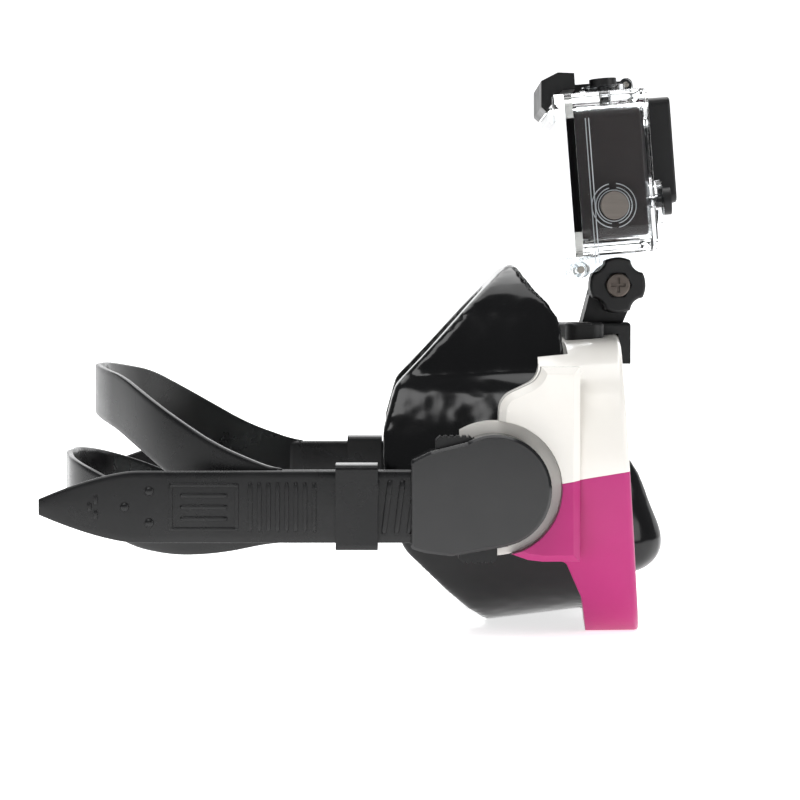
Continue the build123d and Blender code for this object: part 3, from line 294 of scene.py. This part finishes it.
@dataclass
class Studio:
    """The camera, the floor and the lamps. The camera's sizes are in millimetres, the room's in metres."""

    aim: tuple[float, float, float] = (9.3, 0.0, 66.7)
    distance: float = 800.0
    elevation: float = 2.0
    focal: float = 113.4
    sensor: float = 36.0
    floor_half_width: float = 6.0
    floor_front: float = -6.0
    floor_back: float = 3.0
    bend_start: float = 1.6
    bend_rate: float = 0.9
    floor_drop: float = 0.0002
    floor_rows: int = 60
    room_colour: str = "f2f5f8"
    room_light: float = 0.27
    lit_height: float = 0.07
    softboxes: tuple[Softbox, ...] = (
        Softbox("key", (-0.35, -0.75, 0.95), 0.55, 4.2),
        Softbox("fill", (0.85, -0.5, 0.35), 0.5, 2.0),
        Softbox("top", (0.0, 0.35, 1.1), 1.1, 9.0),
        Softbox("sweep", (0.0, 1.2, 1.3), 2.2, 20.0),
    )

    def camera(self) -> None:
        """Makes the camera: it looks along +Y at the aim, from `distance` away and `elevation` degrees up."""
        data = bpy.data.cameras.new("camera")
        data.lens = self.focal
        data.sensor_width = self.sensor
        data.clip_start = 0.01
        holder = bpy.data.objects.new("camera", data)
        bpy.context.scene.collection.objects.link(holder)
        rise = self.distance * math.tan(math.radians(self.elevation))
        spot = Vector((self.aim[0], self.aim[1] - self.distance, self.aim[2] + rise)) * MM
        holder.location = spot
        holder.rotation_euler = (Vector(self.aim) * MM - spot).to_track_quat("-Z", "Y").to_euler()
        bpy.context.scene.camera = holder

    def floor(self) -> None:
        """Makes a pale floor, flat at first and then rising behind with the square of the distance."""
        depth = np.linspace(self.floor_front, self.floor_back, self.floor_rows)
        rise = np.where(depth > self.bend_start, (depth - self.bend_start) ** 2 * self.bend_rate, 0.0)
        across = np.array([-self.floor_half_width, self.floor_half_width])
        points = np.stack([np.repeat(across[:, None], self.floor_rows, 1), np.repeat(depth[None], 2, 0),
                           np.repeat(rise[None], 2, 0) - self.floor_drop], -1)
        floor = open_sheet("floor", points)
        dress(floor, FLOOR_PAPER)

    def lamps(self) -> None:
        """Makes the room's even light and the softboxes, each turned to the mask."""
        scene = bpy.context.scene
        scene.view_settings.view_transform = "Standard"
        scene.world = bpy.data.worlds.new("room")
        scene.world.use_nodes = True
        background = scene.world.node_tree.nodes["Background"]
        background.inputs["Color"].default_value = linear(self.room_colour)
        background.inputs["Strength"].default_value = self.room_light
        for softbox in self.softboxes:
            lamp = bpy.data.lights.new(softbox.name, "AREA")
            lamp.size = softbox.side
            lamp.energy = softbox.power
            holder = bpy.data.objects.new(softbox.name, lamp)
            scene.collection.objects.link(holder)
            spot = Vector(softbox.spot)
            holder.location = spot
            holder.rotation_euler = (Vector((0, 0, self.lit_height)) - spot).to_track_quat("-Z", "Y").to_euler()


def mesh_object(name: str, points: Grid, faces: Sequence[Sequence[int]], outwards: bool) -> bpy.types.Object:
    """Makes a smooth-shaded object from points and faces.

    Args:
        name: The new object's name.
        points: An array of (n, 3) points in metres.
        faces: Each face's point numbers.
        outwards: Whether the faces are turned to point outwards.

    Returns:
        The object, linked to the scene.
    """
    mesh = bpy.data.meshes.new(name)
    mesh.from_pydata(points.tolist(), [], faces)
    mesh.polygons.foreach_set("use_smooth", np.ones(len(mesh.polygons), dtype=bool))
    if outwards:
        recalculate(mesh)
    mesh.update()
    piece = bpy.data.objects.new(name, mesh)
    bpy.context.scene.collection.objects.link(piece)
    return piece


def open_sheet(name: str, points: Grid) -> bpy.types.Object:
    """Makes an open surface from a grid of points, one quad for each cell.

    Args:
        name: The new object's name.
        points: An array of (u, v, 3) points in metres.

    Returns:
        The object, smooth shaded.
    """
    index = np.arange(points.shape[0] * points.shape[1]).reshape(points.shape[:2])
    quads = np.stack([index[:-1, :-1], index[1:, :-1], index[1:, 1:], index[:-1, 1:]], -1)
    return mesh_object(name, points.reshape(-1, 3), quads.reshape(-1, 4).tolist(), outwards=False)


def open_curve(corners: Sequence[Sequence[float]], step: float) -> Grid:
    """Carries a smooth open curve through corner points, evenly spaced.

    Args:
        corners: The points, in millimetres.
        step: The spacing of the result, in millimetres.

    Returns:
        An array of (n, 3) points.
    """
    given = np.array(corners, float)
    padded = np.vstack([2 * given[0] - given[1], given, 2 * given[-1] - given[-2]])
    place = np.linspace(0, len(given) - 1, 40 * len(given))
    whole = np.minimum(place.astype(int), len(given) - 2)
    part = (place - whole)[:, None]
    before, here, after, beyond = (padded[whole + k] for k in range(4))
    dense = 0.5 * (2 * here + (after - before) * part + (2 * before - 5 * here + 4 * after - beyond) * part ** 2
                   + (3 * here - before - 3 * after + beyond) * part ** 3)
    run = np.concatenate([[0], np.cumsum(np.linalg.norm(np.diff(dense, axis=0), axis=1))])
    even = np.linspace(0, run[-1], max(4, int(run[-1] / step)))
    return np.stack([np.interp(even, run, dense[:, axis]) for axis in range(3)], -1)


def pebble(centre: Sequence[float], size: Sequence[float], squareness: float = 0.35, lean: float = 0.0,
           rows: int = 9, columns: int = 20) -> Grid:
    """Works out a rounded block: a superellipsoid, whose sines and cosines are raised to a small power.

    Args:
        centre: Its middle, in millimetres.
        size: Its full sizes along X, Y and Z, in millimetres.
        squareness: The power: 1 is an ellipsoid and 0 is a box.
        lean: How far its X shifts for each millimetre of height.
        rows: Points from pole to pole.
        columns: Points round it.

    Returns:
        An array of (rows, columns, 3) points in metres.
    """
    up = np.linspace(-math.pi / 2 + 0.02, math.pi / 2 - 0.02, rows)[:, None]
    turn = np.linspace(0, 2 * math.pi, columns, endpoint=False)[None]

    def power(wave: Grid) -> Grid:
        """Raises a wave to the power and keeps its sign."""
        return np.sign(wave) * np.abs(wave) ** squareness

    x = power(np.cos(up)) * power(np.cos(turn)) * size[0] / 2
    y = power(np.sin(up)) * np.ones_like(turn) * size[1] / 2
    z = power(np.cos(up)) * power(np.sin(turn)) * size[2] / 2
    return (np.stack([x + lean * z, y, z], -1) + np.array(centre)) * MM


def joined(name: str, grids: Sequence[Grid]) -> bpy.types.Object:
    """Makes one object from many grids that wrap round in v and are closed at both ends.

    Args:
        name: The object's name.
        grids: Arrays of (u, v, 3) points in metres.

    Returns:
        The object, smooth shaded.
    """
    points: list[Grid] = []
    faces: list[list[int]] = []
    start = 0
    for grid in grids:
        rows, columns = grid.shape[:2]
        index = np.arange(rows * columns).reshape(rows, columns) + start
        index = np.hstack([index, index[:, :1]])
        quads = np.stack([index[:-1, :-1], index[:-1, 1:], index[1:, 1:], index[1:, :-1]], -1).reshape(-1, 4)
        faces += quads.tolist() + [index[0, :-1][::-1].tolist(), index[-1, :-1].tolist()]
        points.append(grid.reshape(-1, 3))
        start += rows * columns
    return mesh_object(name, np.vstack(points), faces, outwards=True)


def recalculate(mesh: bpy.types.Mesh) -> None:
    """Turns every face of a mesh outwards."""
    work = bmesh.new()
    work.from_mesh(mesh)
    bmesh.ops.recalc_face_normals(work, faces=work.faces)
    work.to_mesh(mesh)
    work.free()
    mesh.update()


@dataclass
class Skirt:
    """The soft silicone skirt: the CAD solid's shape with every edge softened, as it leaves a mould."""

    voxel: float = 1.15
    smoothing: int = 8

    def build(self) -> None:
        """Makes the skirt: even voxels over the CAD shape, then rounds of smoothing."""
        piece = merged_copy("skirt", "skirt_soft")
        remesh = piece.modifiers.new("even", "REMESH")
        remesh.mode = "VOXEL"
        remesh.voxel_size = self.voxel * MM
        remesh.use_smooth_shade = True
        smooth = piece.modifiers.new("soft", "SMOOTH")
        smooth.factor = 0.5
        smooth.iterations = self.smoothing
        bake(piece)
        dress(piece, SILICONE)
        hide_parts("skirt")
        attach(piece, "mask")
        LOG.info("skirt %d faces", len(piece.data.polygons))


def merged_copy(node: str, name: str) -> bpy.types.Object:
    """Copies a CAD node's mesh into a new object, with its loose triangles joined.

    Args:
        node: The CAD node's name.
        name: The new object's name.

    Returns:
        The object, with no material, at the origin.
    """
    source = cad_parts[node]
    mesh = source.data.copy()
    mesh.transform(source.matrix_world)
    work = bmesh.new()
    work.from_mesh(mesh)
    bmesh.ops.remove_doubles(work, verts=work.verts, dist=1e-6)
    work.to_mesh(mesh)
    work.free()
    mesh.materials.clear()
    piece = bpy.data.objects.new(name, mesh)
    bpy.context.scene.collection.objects.link(piece)
    return piece


def bake(piece: bpy.types.Object) -> None:
    """Applies a piece's modifiers, so that its mesh is what shows."""
    depsgraph = bpy.context.evaluated_depsgraph_get()
    depsgraph.update()
    final = bpy.data.meshes.new_from_object(piece.evaluated_get(depsgraph))
    piece.modifiers.clear()
    piece.data = final


@dataclass
class Strap:
    """The rubber strap: a fold round each roller, a ribbed tail, and two bands round the head."""

    thickness: float = 2.0
    width: float = 20.6
    middle: float = 39.2
    roller_x: float = 14.6
    inner_y: float = 79.1
    fold: float = 2.5
    bend_x: float = -24.0
    tail_tip: float = -93.5
    taper_x: float = -66.0
    fork_x: float = -27.0
    trim_proud: float = 0.05
    rungs_x: float = -24.2
    rung_pitch: float = 2.6
    rung_count: int = 8
    slants_x: float = 2.0
    slant_pitch: float = 3.6
    slant_count: int = 4
    panel_x: float = -46.5
    bump_places: tuple[tuple[float, float], ...] = ((-69, 0), (-62, 4.5), (-62, -4.5))
    chevron_x: float = -79.0

    def ribbon(self, path: Grid, low: Grid, high: Grid) -> Grid:
        """Carries a rounded upright section along a path.

        Args:
            path: Points of (n, 3), whose Z is not read.
            low: The lower edge's height at each point.
            high: The upper edge's height at each point.

        Returns:
            An array of (n, 28, 3) points in metres: a superellipse across, between the two edges.
        """
        along = np.gradient(path[:, :2], axis=0)
        along /= np.linalg.norm(along, axis=1)[:, None]
        normal = np.stack([along[:, 1], -along[:, 0]], -1)
        turn = np.linspace(0, 2 * math.pi, 28, endpoint=False)
        across = np.sign(np.cos(turn)) * np.abs(np.cos(turn)) ** 0.5 * self.thickness / 2
        up = np.sign(np.sin(turn)) * np.abs(np.sin(turn)) ** 0.16
        half = (high - low)[:, None] / 2
        plan = path[:, None, :2] + normal[:, None] * across[None, :, None]
        height = (high + low)[:, None] / 2 + half * up[None]
        return np.concatenate([plan, height[..., None]], -1) * MM

    def side_run(self, side: int) -> Grid:
        """Works out one side: the tail, the fold round the roller, and the run back to the fork.

        Args:
            side: -1 for the right and 1 for the left.

        Returns:
            The ribbon's points.
        """
        tail_y = self.inner_y + 2 * self.fold
        tail = np.stack([np.linspace(self.tail_tip, self.roller_x, 110), np.full(110, tail_y)], -1)
        turn = np.linspace(math.pi / 2, -math.pi / 2, 26)[1:-1]
        fold = np.stack([self.roller_x + self.fold * np.cos(turn),
                         self.inner_y + self.fold + self.fold * np.sin(turn)], -1)
        back = np.stack([np.linspace(self.roller_x, self.fork_x - 2, 40), np.full(40, self.inner_y)], -1)
        plan = np.vstack([tail, fold, back])
        path = np.column_stack([plan[:, 0], side * plan[:, 1], np.zeros(len(plan))])
        in_tail = np.arange(len(plan)) < len(tail)
        reach = np.clip((self.taper_x - plan[:, 0]) / (self.taper_x - self.tail_tip), 0, 1)
        half = self.width / 2 * np.where(in_tail, 1 - 0.78 * reach ** 1.5, 1.0)
        return self.ribbon(path, self.middle - half, self.middle + half)

    def band(self, rear_x: float, low: Sequence[tuple[float, float]], high: Sequence[tuple[float, float]]) -> Grid:
        """Works out one band round the back of the head, from fork to fork.

        Args:
            rear_x: Where the band's middle crosses the centre line.
            low: The lower edge as pairs of X and height.
            high: The upper edge as pairs of X and height.

        Returns:
            The ribbon's points.
        """
        half = open_curve([(self.fork_x + 2, -self.inner_y, 0), (self.bend_x - 6, -self.inner_y + 0.4, 0),
                           (self.bend_x - 34, -self.inner_y + 16, 0), (rear_x + 9, -36, 0),
                           (rear_x + 1.4, -14, 0), (rear_x + 1, 0, 0)], 1.6)
        path = np.vstack([half, (half * [1, -1, 1])[-2::-1]])
        edges = [np.interp(-path[:, 0], [-x for x, _ in points], [z for _, z in points])
                 for points in (low, high)]
        kernel = np.ones(9) / 9
        edges = [np.convolve(np.pad(edge, 4, mode="edge"), kernel, mode="valid") for edge in edges]
        return self.ribbon(path, *edges)

    def trim(self, side: int) -> list[Grid]:
        """Works out the ribs, panel and bumps on one tail's outer face.

        Args:
            side: -1 for the right and 1 for the left.

        Returns:
            The grids of all the small raised pieces.
        """
        face = side * (self.inner_y + 2 * self.fold + self.thickness / 2 + self.trim_proud)

        def block(x: float, up: float, size: tuple[float, float, float], squareness: float,
                  lean: float = 0.0) -> Grid:
            """Works out one raised block at a place along the tail, `up` from its middle."""
            return pebble((x, face, self.middle + up), size, squareness, lean)

        rungs = [block(self.rungs_x + k * self.rung_pitch, 0, (1.2, 1.1, 14), 0.3)
                 for k in np.arange(self.rung_count) - (self.rung_count - 1) / 2]
        slants = [block(self.slants_x + k * self.slant_pitch, 0, (1.6, 1.2, 15.5), 0.3, 0.12)
                  for k in range(self.slant_count)]
        bars = [block(self.panel_x, k * 3.3, (13.5, 1.0, 1.3), 0.3) for k in (-1, 0, 1)]
        rails = [block(self.panel_x, k * 6.3, (19.5, 1.0, 1.0), 0.2) for k in (-1, 1)]
        stiles = [block(self.panel_x + k * 9.4, 0, (1.0, 1.0, 13.2), 0.2) for k in (-1, 1)]
        bumps = [block(x, up, (2.6, 1.2, 2.6), 0.9) for x, up in self.bump_places]
        chevron = [block(self.chevron_x + 1.8 * abs(k), 2.1 * k, (1.2, 0.9, 2.6), 0.5) for k in (-1, 0, 1)]
        return rungs + slants + bars + rails + stiles + bumps + chevron

    def build(self) -> None:
        """Makes the whole strap as two objects, the rubber and its ribs, that stand for the CAD strap."""
        upper = self.band(-86.0, [(-20, 39.3), (-38, 39.3), (-52, 43), (-64, 51.5), (-76, 59.5), (-90, 64.5)],
                          [(-20, 49.5), (-26, 49.5), (-44, 56.5), (-60, 66.5), (-74, 75.5), (-90, 80.0)])
        lower = self.band(-95.2, [(-20, 28.9), (-26, 28.9), (-42, 24.9), (-56, 23.4), (-70, 24.9), (-82, 31),
                                  (-96, 37.5)],
                          [(-20, 39.1), (-38, 39.1), (-54, 37), (-66, 39), (-78, 45), (-96, 52)])
        piece = joined("strap_rubber", [self.side_run(-1), self.side_run(1), upper, lower])
        ribs = joined("strap_ribs", self.trim(-1) + self.trim(1))
        for item in (piece, ribs):
            dress(item, STRAP_RUBBER)
            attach(item, "strap_unit")
        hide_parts("strap")
        LOG.info("strap and ribs")


@dataclass
class Springs:
    """The coil springs behind the release buttons, kept at their CAD shape; the real ones shorten as their button
    is pressed.
    """

    length: float = 8.49
    travel: float = 1.2
    upper_seat: tuple[float, float, float] = (24.9, 81.15, 43.1)
    lower_seat: tuple[float, float, float] = (31.5, 81.15, 40.7)

    def build(self) -> None:
        """Makes each spring from its CAD node's shape."""
        for side, sign in (("right", -1), ("left", 1)):
            for level, seat in (("upper", self.upper_seat), ("lower", self.lower_seat)):
                node = f"release_spring_{level}_{side}"
                piece = merged_copy(node, f"spring_{level}_{side}")
                dress(piece, STEEL)
                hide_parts(node)
                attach(piece, "strap_unit")
                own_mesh(piece)
                LOG.info("spring %s %s", level, side)


@dataclass
class HousingLines:
    """The lines of light that the clear housing gathers at its side button and along its seam."""

    screw: tuple[float, float] = (77.0, 103.0)
    lean: float = 4.5
    side_y: float = -35.15
    button: tuple[float, float] = (-1.0, 24.0)
    rings: tuple[tuple[float, float], ...] = ((6.7, 0.16), (5.5, 0.2))
    cap_ring: float = 4.7
    seam: tuple[float, ...] = (-7.7, -6.7)
    seam_ends: tuple[float, float] = (7.0, 51.0)
    line: float = 0.16

    def place(self, forward: Grid, up: Grid) -> Grid:
        """Turns places in the housing's leaning axes into points on its right side.

        Args:
            forward: Distances forward of the screw, in millimetres.
            up: Distances up from the screw, in millimetres.

        Returns:
            An array of (n, 3) points in millimetres.
        """
        lean = math.radians(self.lean)
        return np.stack([self.screw[0] + forward * math.cos(lean) - up * math.sin(lean),
                         np.full_like(forward, self.side_y),
                         self.screw[1] + forward * math.sin(lean) + up * math.cos(lean)], -1)

    def wire(self, path: Grid) -> Grid:
        """Carries a small circle along a path on the housing's side.

        Args:
            path: Points of (n, 3) in millimetres.

        Returns:
            An array of (n, 8, 3) points in metres.
        """
        along = np.gradient(path, axis=0)
        along /= np.linalg.norm(along, axis=1)[:, None]
        out = np.array([0.0, 1.0, 0.0])
        across = np.cross(along, out)
        turn = np.linspace(0, 2 * math.pi, 8, endpoint=False)[None, :, None]
        return (path[:, None] + (across[:, None] * np.cos(turn) + out * np.sin(turn)) * self.line) * MM

    def build(self) -> None:
        """Makes the two broken rings round the side button, and the seam's two lines."""
        wires = []
        for radius, gap in self.rings:
            for start in (0.5, 1.5):
                turn = np.linspace(start * math.pi + gap, (start + 1) * math.pi - gap, 48)
                wires.append(self.wire(self.place(self.button[0] + radius * np.cos(turn),
                                                  self.button[1] + radius * np.sin(turn))))
        full = np.linspace(0, 2 * math.pi, 72)
        wires.append(self.wire(self.place(self.button[0] + self.cap_ring * np.cos(full),
                                          self.button[1] + self.cap_ring * np.sin(full))))
        up = np.linspace(*self.seam_ends, 24)
        wires += [self.wire(self.place(np.full_like(up, forward), up)) for forward in self.seam]
        piece = joined("housing_highlight_lines", wires)
        # pale opaque lines: painted highlight for the light the clear housing gathers
        dress(piece, LIT_EDGE)
        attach(piece, "housing")
        LOG.info("housing lines")


def main() -> None:
    """Builds everything in order and reports each piece."""
    logging.basicConfig(level=logging.INFO, format="%(name)s: %(message)s")
    studio = Studio()
    studio.camera()
    studio.floor()
    studio.lamps()
    dress_frame()
    Skirt().build()
    Strap().build()
    Springs().build()
    HousingLines().build()


if __name__ == "__main__":
    main()
